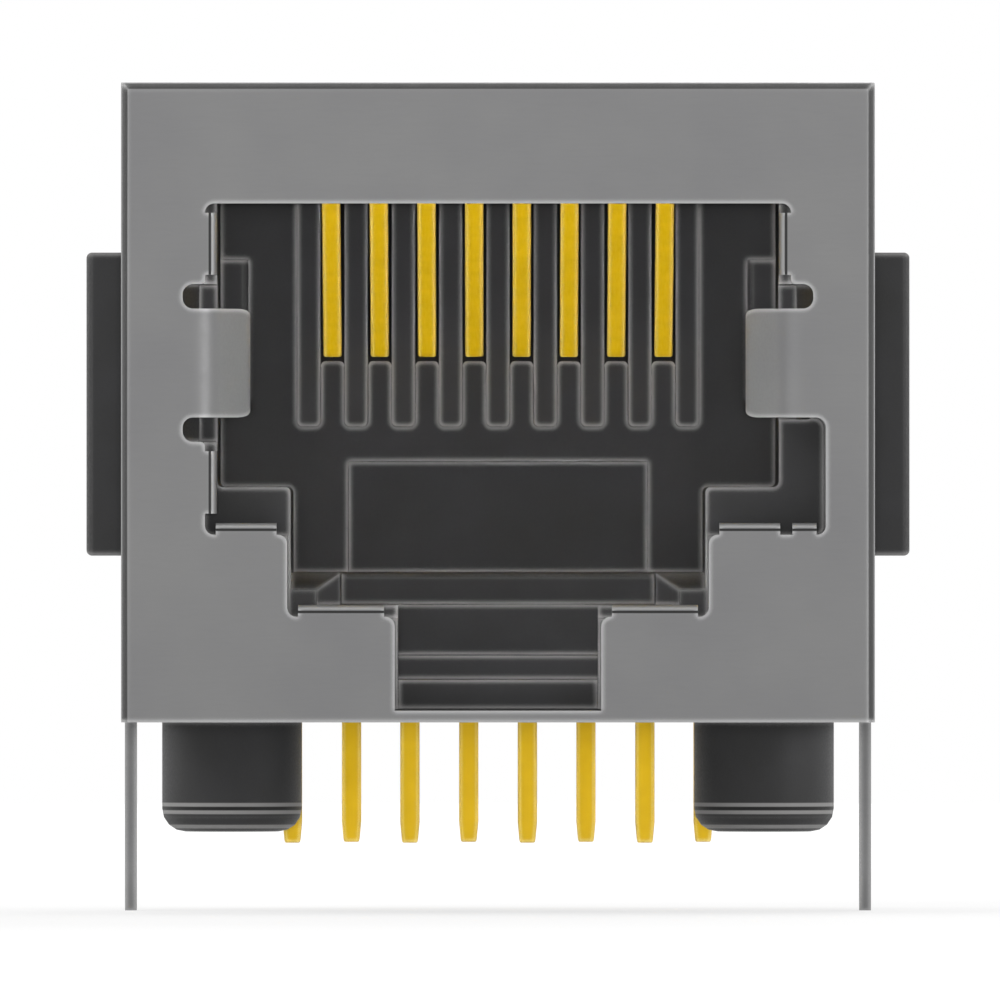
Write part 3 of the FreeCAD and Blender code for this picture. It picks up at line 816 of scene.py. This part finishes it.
@dataclass
class RoundedSkin:
    """A piece's true form with its square edges broken by a small round, as made parts have.

    Attributes:
        node: the node that the skin stands for.
        piece: name of the new piece.
        slot: the record's finish; not used.
        round_width: width of the broken edge.
        segments: facets across it.
        edge_angle: angle in degrees past which an edge counts as square.
        flat_angle: angle in degrees under which triangles are one flat face.
    """

    node: str
    piece: str
    slot: Slot
    round_width: float = 0.03 * MM
    segments: int = 2
    edge_angle: float = 38.0
    flat_angle: float = 0.6

    def mesh(self) -> bpy.types.Mesh:
        """Weld the node's triangles and join the flat ones into whole faces.

        Returns:
            The mesh, before its edges are rounded.
        """
        points, triangles = welded_copy(self.node)
        mesh = bpy.data.meshes.new(self.piece)
        mesh.from_pydata(points.tolist(), [], triangles.tolist())
        solid = bmesh.new()
        solid.from_mesh(mesh)
        bmesh.ops.dissolve_limit(
            solid,
            angle_limit=math.radians(self.flat_angle),
            verts=solid.verts,
            edges=solid.edges,
            delimit={"NORMAL"},
        )
        solid.to_mesh(mesh)
        solid.free()
        shade_by_angle(mesh, self.edge_angle)
        return mesh

    def build(self, material: bpy.types.Material) -> bpy.types.Object:
        """Make the piece and let it stand for its node.

        Args:
            material: the finish to wear.

        Returns:
            The new piece.
        """
        piece = stand_in(self.piece, self.mesh(), self.node, material)
        bevel = piece.modifiers.new("broken_edges", "BEVEL")
        bevel.width = self.round_width
        bevel.segments = self.segments
        bevel.limit_method = "ANGLE"
        bevel.angle_limit = math.radians(self.edge_angle)
        bevel.harden_normals = True
        bevel.use_clamp_overlap = True
        bevel.miter_outer = "MITER_ARC"
        return piece


@dataclass
class ContactStrip:
    """One contact: a stamped strip with a sprung arm, hairpin, sideways jog and tail.

    Attributes:
        number: place in the row, from the left.
        thickness: strip thickness.
        arm_width, tail_width, tip_width: widths of the arm, of the tail and of its tip.
        tip_length: length over which the tail narrows.
        corner: rounding of the strip's four long edges.
        corner_limit: largest share of half a side that this rounding takes.
        end_round: how far each end is drawn in.
        hairpin_radius, bend_radius: radii of the middle line.
        arm_end_y, arm_end_z: where the arm ends.
        jog_start_y, jog_end_y: where the sideways jog starts and ends.
        around_corner: points round a corner.
        arm_points to tip_points: points along each stretch of the middle line.
        arm_crowding: power that sets the arm's points closer towards the hairpin.
        smooth_angle: angle in degrees past which an edge shows.
    """

    number: int
    thickness: float = 0.3 * MM
    arm_width: float = 0.4 * MM
    tail_width: float = 0.42 * MM
    tip_width: float = 0.34 * MM
    tip_length: float = 0.45 * MM
    corner: float = 0.05 * MM
    corner_limit: float = 0.9
    end_round: float = 0.045 * MM
    hairpin_radius: float = 0.55 * MM
    bend_radius: float = 0.45 * MM
    arm_end_y: float = 4.7 * MM
    arm_end_z: float = 7.96 * MM
    jog_start_y: float = -2.0 * MM
    jog_end_y: float = 2.5 * MM
    around_corner: int = 4
    arm_points: int = 30
    hairpin_points: int = 25
    run_points: int = 40
    bend_points: int = 13
    tail_points: int = 18
    tip_points: int = 6
    arm_crowding: float = 0.9
    smooth_angle: float = 50.0

    @property
    def node(self) -> str:
        """Name of the node that the strip stands for."""
        return "contact_" + str(self.number)

    def places(self) -> tuple[float, float, float, float, float, float]:
        """Read the strip's places from its node's box.

        Returns:
            Arm X, tail X, hairpin centre Y, run Z, tail row Y and tail tip Z.
        """
        low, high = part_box(self.node)
        half = self.thickness / 2
        leftward = low[0] + high[0] < 0
        outer_x = low[0] if leftward else high[0]
        inner_x = high[0] if leftward else low[0]
        side = -1 if leftward else 1
        tail_x = outer_x - side * self.tail_width / 2
        arm_x = inner_x + side * self.arm_width / 2
        hairpin_y = low[1] + half + self.hairpin_radius
        return arm_x, tail_x, hairpin_y, high[2] - half, high[1] - half, low[2]

    def side_path(self) -> tuple[np.ndarray, np.ndarray]:
        """The strip's middle line in Y and Z, from arm end to tail tip, with its directions.

        The arm is the tangent from its end to the hairpin's circle. The hairpin is that
        circle up to its top, the run is level, the bend is a quarter circle and the tail
        drops straight to its tip.

        Returns:
            Points (n, 2) and unit directions (n, 2).
        """
        _, _, hairpin_y, run_z, row_y, tip_z = self.places()
        radius = self.hairpin_radius
        centre = np.array([hairpin_y, run_z - radius])
        end = np.array([self.arm_end_y, self.arm_end_z])
        gap = end - centre
        slope = math.atan2(-gap[1], gap[0]) - math.asin(radius / np.hypot(*gap))
        turn = np.linspace(math.pi - slope, 0.0, self.hairpin_points)
        hairpin = centre + radius * np.stack([-np.sin(turn), np.cos(turn)], axis=1)
        hairpin_way = np.stack([np.cos(turn), np.sin(turn)], axis=1)
        reach = hairpin[0] - end
        arm_share = np.linspace(0.0, 1.0, self.arm_points)[:-1, None] ** self.arm_crowding
        arm = end + reach * arm_share
        arm_way = np.tile(reach / np.linalg.norm(reach), (arm_share.size, 1))
        bend = self.bend_radius
        run_y = np.linspace(hairpin_y, row_y - bend, self.run_points)[1:-1]
        run = np.stack([run_y, np.full(run_y.size, run_z)], axis=1)
        run_way = np.tile([1.0, 0.0], (run_y.size, 1))
        fall = np.linspace(0.0, math.pi / 2, self.bend_points)
        bend_centre = np.array([row_y - bend, run_z - bend])
        corner = bend_centre + bend * np.stack([np.sin(fall), np.cos(fall)], axis=1)
        corner_way = np.stack([np.cos(fall), -np.sin(fall)], axis=1)
        depth = np.concatenate([
            np.linspace(run_z - bend, tip_z + self.tip_length, self.tail_points)[1:],
            np.linspace(tip_z + self.tip_length, tip_z, self.tip_points)[1:],
        ])
        tail = np.stack([np.full(depth.size, row_y), depth], axis=1)
        tail_way = np.tile([0.0, -1.0], (depth.size, 1))
        points = np.concatenate([arm, hairpin, run, corner, tail])
        ways = np.concatenate([arm_way, hairpin_way, run_way, corner_way, tail_way])
        return points, ways

    def section(self, half_width: np.ndarray, half_depth: np.ndarray) -> tuple[np.ndarray, np.ndarray]:
        """Rounded-rectangle sections for a whole strip at once.

        A corner is a quarter circle of the corner radius about a point that lies that
        radius inside both sides. The four corners follow each other round the section.

        Args:
            half_width: half of the width at each place along the strip.
            half_depth: half of the thickness at each place.

        Returns:
            Offsets along the width and along the thickness, each (n, around).
        """
        quarter = np.linspace(0.0, math.pi / 2, self.around_corner)
        turn = np.concatenate([quarter + start * math.pi / 2 for start in range(4)])
        limit = np.minimum(half_width, half_depth) * self.corner_limit
        radius = np.minimum(self.corner, limit)[:, None]
        sign_u = np.repeat([1, -1, -1, 1], self.around_corner)
        sign_v = np.repeat([1, 1, -1, -1], self.around_corner)
        across = sign_u * (half_width[:, None] - radius) + radius * np.cos(turn)
        deep = sign_v * (half_depth[:, None] - radius) + radius * np.sin(turn)
        return across, deep

    def rings(self) -> np.ndarray:
        """The strip's surface: a rounded section carried along the middle line.

        Its X follows a smooth S from arm to tail over the jog, its width grows over the
        same stretch and narrows again over the tail's tip, and both ends are drawn in by
        a small round.

        Returns:
            Rings of points (n, around, 3).
        """
        arm_x, tail_x, _, run_z, _, tip_z = self.places()
        points, ways = self.side_path()
        on_run = np.isclose(points[:, 1], run_z) & (ways[:, 0] > 0)
        after = np.cumsum(on_run) > 0
        share = np.clip((points[:, 0] - self.jog_start_y) / (self.jog_end_y - self.jog_start_y), 0, 1)
        share = np.where(after, share, 0.0)
        ease = share * share * (3 - 2 * share)
        centre_x = arm_x + (tail_x - arm_x) * ease
        width = self.arm_width + (self.tail_width - self.arm_width) * ease
        to_tip = np.clip((tip_z + self.tip_length - points[:, 1]) / self.tip_length, 0, 1)
        width = np.where(after, width - (self.tail_width - self.tip_width) * to_tip, width)
        across, deep = self.section(width / 2, np.full(width.size, self.thickness / 2))
        normal = np.stack([ways[:, 1], -ways[:, 0]], axis=1)
        x = centre_x[:, None] + across
        y = points[:, 0, None] + normal[:, 0, None] * deep
        z = points[:, 1, None] + normal[:, 1, None] * deep
        return self.rounded_ends(np.stack([x, y, z], axis=-1))

    def rounded_ends(self, rings: np.ndarray) -> np.ndarray:
        """Add drawn-in rings at both ends so that no end edge is square.

        Each added ring is the end ring moved back by the end's round times one minus the
        sine of a growing angle, and pulled in by it times one minus the cosine.

        Args:
            rings: the strip's rings.

        Returns:
            The rings with both ends rounded.
        """
        turn = np.linspace(0.0, math.pi / 2, self.around_corner)[:, None, None]
        radius = self.end_round
        ends = []
        for edge, beside in ((rings[0], rings[1]), (rings[-1], rings[-2])):
            middle = edge.mean(axis=0)
            way = middle - beside.mean(axis=0)
            way /= np.linalg.norm(way)
            inward = (middle - edge) / np.linalg.norm(edge - middle, axis=1, keepdims=True)
            back = way * radius * (1 - np.sin(turn))
            ends.append(edge - back + inward * radius * (1 - np.cos(turn)))
        return np.concatenate([ends[0][::-1], rings[1:-1], ends[1]])

    def build(self, material: bpy.types.Material) -> bpy.types.Object:
        """Make the strip and let it stand for its node.

        Args:
            material: the finish to wear.

        Returns:
            The new piece.
        """
        name = "contact_strip_" + str(self.number)
        mesh = capped_tube(name, self.rings())
        shade_by_angle(mesh, self.smooth_angle)
        return stand_in(name, mesh, self.node, material)


@dataclass
class ContactRow:
    """The eight contacts, side by side.

    Attributes:
        count: how many contacts there are.
        finish: their plate.
    """

    count: int = 8
    finish: GoldPlate = GoldPlate("gold_plate")

    def build(self) -> list[bpy.types.Object]:
        """Make every contact.

        Returns:
            The pieces from left to right.
        """
        material = self.finish.build()
        return [ContactStrip(number).build(material) for number in range(1, self.count + 1)]


@dataclass
class Mouldings:
    """The housing and the two inner mouldings.

    Attributes:
        housing_finish: the housing's plastic.
        insert_finish: the inner mouldings' plastic.
    """

    housing_finish: MouldedBlack = MouldedBlack("housing_black")
    insert_finish: MouldedBlack = MouldedBlack("insert_black")

    def build(self) -> list[bpy.types.Object]:
        """Make the mouldings.

        Returns:
            Housing, contact insert and tail spacer.
        """
        housing = RoundedSkin("housing", "housing_moulding", Slot.HOUSING)
        pieces = [housing.build(self.housing_finish.build())]
        insert = self.insert_finish.build()
        for node in ("contact_insert", "tail_spacer"):
            pieces.append(RoundedSkin(node, node + "_moulding", Slot.INSERT).build(insert))
        return pieces


@dataclass
class Shields:
    """The two folded sheets round the housing.

    Attributes:
        front_finish: plate of the front sheet.
        rear_finish: plate of the rear sheet.
    """

    front_finish: PlatedSheet = PlatedSheet("front_plate", Grain.ACROSS, lips=LipZone())
    rear_finish: PlatedSheet = PlatedSheet("rear_plate", Grain.UPRIGHT)

    def build(self) -> list[bpy.types.Object]:
        """Make both shields.

        Returns:
            Front sheet and rear sheet.
        """
        front = RoundedSkin("front_shield", "front_shield_sheet", Slot.SHIELD)
        rear = RoundedSkin("rear_shield", "rear_shield_sheet", Slot.SHIELD)
        return [front.build(self.front_finish.build()), rear.build(self.rear_finish.build())]


@dataclass(frozen=True)
class Lamp:
    """A soft flat lamp.

    Attributes:
        name: lamp name.
        place: where it hangs.
        level: brightness of a white matt face at the jack that looks straight at it.
        size: its size across and its size up and down.
        aim: the point that it faces.
        fan: angle in degrees over which its light fans out.
        shows_in_gloss: whether gloss mirrors it.
        lights_only: how the names of the pieces that it lights start, or nothing for all.
    """

    name: str
    place: Point
    level: float
    size: tuple[float, float]
    aim: Point = (0.0, 0.0, 5 * MM)
    fan: float = 180.0
    shows_in_gloss: bool = True
    lights_only: str = ""

    @property
    def way(self) -> Vector:
        """From the lamp to its aim."""
        return Vector(self.aim) - Vector(self.place)

    @property
    def watts(self) -> float:
        """The power: the level times the square of pi times the square of the distance."""
        return self.level * math.pi ** 2 * self.way.length_squared

    def build(self, pieces: list[bpy.types.Object]) -> bpy.types.Object:
        """Hang the lamp.

        Args:
            pieces: all pieces of the jack.

        Returns:
            The lamp.
        """
        light = bpy.data.lights.new(self.name, "AREA")
        light.shape = "RECTANGLE"
        light.size, light.size_y = self.size
        light.spread = math.radians(self.fan)
        light.energy = self.watts
        lamp = bpy.data.objects.new(self.name, light)
        lamp.location = self.place
        lamp.rotation_euler = self.way.to_track_quat("-Z", "Y").to_euler()
        lamp.visible_camera = False
        lamp.visible_glossy = self.shows_in_gloss
        bpy.context.scene.collection.objects.link(lamp)
        if self.lights_only:
            group = bpy.data.collections.new(self.name + "_takes")
            for piece in pieces:
                if piece.name.startswith(self.lights_only):
                    group.objects.link(piece)
            lamp.light_linking.receiver_collection = group
        return lamp


@dataclass(frozen=True)
class Beam(Lamp):
    """A lamp whose light hardly fans out, so that it keeps the lamp's own size."""

    fan: float = 1.6
    shows_in_gloss: bool = False

    @classmethod
    def into_mouth(cls, name: str, half_width: float, low_z: float, high_z: float) -> "Beam":
        """A beam straight into one level of the mouth, for the housing's far walls.

        Args:
            name: lamp name.
            half_width: half of the beam's width.
            low_z: height of its lower side.
            high_z: height of its upper side.

        Returns:
            The beam.
        """
        middle = (low_z + high_z) / 2
        size = (2 * half_width, high_z - low_z)
        place = (0.0, -50 * MM, middle)
        aim = (0.0, 0.0, middle)
        return cls(name, place, level=0.5, size=size, aim=aim, fan=1.0, lights_only="housing")

    @classmethod
    def onto_finger(cls, name: str, side: int) -> "Beam":
        """A beam slanted through the mouth onto the ground finger at one side.

        Args:
            name: lamp name.
            side: 1 for the right finger, -1 for the left one.

        Returns:
            The beam.
        """
        size = (1.77 * MM, 2.9 * MM)
        place = (-side * 6.4 * MM, -14 * MM, FINGER_Z)
        aim = (side * 5.64 * MM, -6.93 * MM, FINGER_Z)
        return cls(name, place, level=1.35, size=size, aim=aim, lights_only="front_shield")

    @property
    def watts(self) -> float:
        """The power, the same at any distance: the level times pi times the lamp's area."""
        return self.level * math.pi * self.size[0] * self.size[1]


@dataclass
class Studio:
    """Floor, light and camera.

    Attributes:
        view_width: width in metres that the picture shows at the jack's front.
        view_centre: middle of the picture as X and Z.
        lens: focal length in millimetres, long so that depth hardly shrinks.
        sensor: width of the camera's sensor in millimetres.
        clip: nearest and farthest depth shown, as shares of the camera's distance.
        floor_half: half the size of the floor.
        floor_cells: faces along each side of the floor.
        world_level: light from all round.
        lamps: every lamp.
    """

    view_width: float = 21.31 * MM
    view_centre: tuple[float, float] = (0.043 * MM, 4.74 * MM)
    lens: float = 1650.0
    sensor: float = 36.0
    clip: tuple[float, float] = (0.1, 3.0)
    floor_half: float = 0.35
    floor_cells: int = 8
    world_level: float = 0.3
    lamps: tuple[Lamp, ...] = (
        Lamp("viewer_fill", (0.0, -0.9, 0.01), 0.48, (0.08, 0.08), shows_in_gloss=False),
        Lamp("key", (-0.16, -0.15, 0.12), 0.26, (0.1, 0.1)),
        Lamp("right_fill", (0.19, -0.15, 0.03), 0.24, (0.1, 0.1)),
        Lamp("left_side", (-0.24, 0.06, 0.08), 0.22, (0.14, 0.14)),
        Lamp("right_side", (0.24, 0.06, 0.08), 0.2, (0.14, 0.14)),
        Lamp("back", (0.08, 0.24, 0.1), 0.35, (0.16, 0.16)),
        Lamp("top", (0.0, 0.03, 0.3), 0.16, (0.16, 0.16)),
        Beam.into_mouth("mouth_beam", 6.9 * MM, 6.4 * MM, 12.4 * MM),
        Beam.into_mouth("step_beam", 6.0 * MM, 4.96 * MM, 6.4 * MM),
        Beam.into_mouth("channel_beam", 4.48 * MM, 0.8 * MM, 4.96 * MM),
        Beam(
            "arm_beam",
            place=(0.0, -19.15 * MM, 2.5 * MM),
            level=2.75,
            size=(8.8 * MM, 8.8 * MM),
            aim=(0.0, -0.6 * MM, 10 * MM),
            fan=3.0,
            lights_only="contact_strip",
        ),
        Beam(
            "tail_beam",
            place=(0.0, -20 * MM, -1.5 * MM),
            level=0.97,
            size=(12 * MM, 3.2 * MM),
            aim=(0.0, 0.0, -1.5 * MM),
            fan=3.0,
            lights_only="contact_strip",
        ),
        Beam.onto_finger("left_finger_beam", -1),
        Beam.onto_finger("right_finger_beam", 1),
        Beam(
            "left_pocket_beam",
            place=(5.5 * MM, -13 * MM, FINGER_Z),
            level=0.55,
            size=(2.4 * MM, 4 * MM),
            aim=(-6.55 * MM, -6 * MM, FINGER_Z),
            lights_only="housing",
        ),
        Beam(
            "right_pocket_beam",
            place=(-5.5 * MM, -13 * MM, 9.2 * MM),
            level=0.55,
            size=(2.4 * MM, 1 * MM),
            aim=(6.55 * MM, -6 * MM, 9.2 * MM),
            lights_only="housing",
        ),
    )

    def floor(self) -> None:
        """Lay a flat floor of square faces under the lowest point of the jack."""
        low, _ = cad_box
        count = self.floor_cells + 1
        steps = np.linspace(-self.floor_half, self.floor_half, count)
        x, y = np.meshgrid(steps, steps, indexing="ij")
        points = np.stack([x, y, np.full_like(x, low[2])], axis=-1).reshape(-1, 3)
        cells = np.arange(self.floor_cells)
        first = (cells[:, None] * count + cells).reshape(-1)
        faces = np.stack([first, first + count, first + count + 1, first + 1], axis=1)
        mesh = bpy.data.meshes.new("floor")
        mesh.from_pydata(points.tolist(), [], faces.tolist())
        mesh.materials.append(PaleFloor("pale_floor").build())
        link_object("floor", mesh)

    def world(self) -> None:
        """Give the world a plain level, shown as white to the camera and to gloss."""
        world = bpy.data.worlds.new("studio")
        world.use_nodes = True
        world.node_tree.nodes.clear()
        sheet = NodeSheet(world)
        level = sheet.add("ShaderNodeBackground")
        white = sheet.add("ShaderNodeBackground")
        level.inputs["Strength"].default_value = self.world_level
        for shade in (level, white):
            shade.inputs["Color"].default_value = WHITE
        mix = sheet.add("ShaderNodeMixShader")
        output = sheet.add("ShaderNodeOutputWorld")
        sheet.join(sheet.seen_directly(), mix.inputs[0])
        sheet.join(level.outputs[0], mix.inputs[1])
        sheet.join(white.outputs[0], mix.inputs[2])
        sheet.join(mix.outputs[0], output.inputs["Surface"])
        bpy.context.scene.world = world

    def camera(self) -> None:
        """Stand the camera straight in front, far off, so that the view is close to parallel."""
        low, _ = cad_box
        camera = bpy.data.cameras.new("camera")
        camera.lens = self.lens
        camera.sensor_width = self.sensor
        distance = self.view_width * self.lens / self.sensor
        camera.clip_start = distance * self.clip[0]
        camera.clip_end = distance * self.clip[1]
        holder = bpy.data.objects.new("camera", camera)
        holder.location = (self.view_centre[0], low[1] - distance, self.view_centre[1])
        holder.rotation_euler = (math.pi / 2, 0.0, 0.0)
        bpy.context.scene.collection.objects.link(holder)
        bpy.context.scene.camera = holder

    def build(self, pieces: list[bpy.types.Object]) -> None:
        """Set up everything that isn't the jack.

        Args:
            pieces: all pieces of the jack, from which lamps pick what they light.
        """
        self.camera()
        self.floor()
        self.world()
        for lamp in self.lamps:
            lamp.build(pieces)
        bpy.context.scene.view_settings.view_transform = "Standard"


@dataclass
class BoardJack:
    """The whole jack as its sub-assemblies.

    Attributes:
        mouldings: housing and inner mouldings.
        contacts: the eight contacts.
        shields: the two sheets.
    """

    mouldings: Mouldings = field(default_factory=Mouldings)
    contacts: ContactRow = field(default_factory=ContactRow)
    shields: Shields = field(default_factory=Shields)

    def build(self) -> list[bpy.types.Object]:
        """Make every sub-assembly in turn.

        Returns:
            All new pieces.
        """
        pieces = []
        for part in (self.mouldings, self.contacts, self.shields):
            made = part.build()
            for piece in made:
                log.info("%s: %d faces", piece.name, len(piece.data.polygons))
            pieces += made
        return pieces


def main() -> None:
    """Build the studio and the jack."""
    logging.basicConfig(level=logging.INFO, format="%(name)s: %(message)s")
    Studio().build(BoardJack().build())


if __name__ == "__main__":
    main()
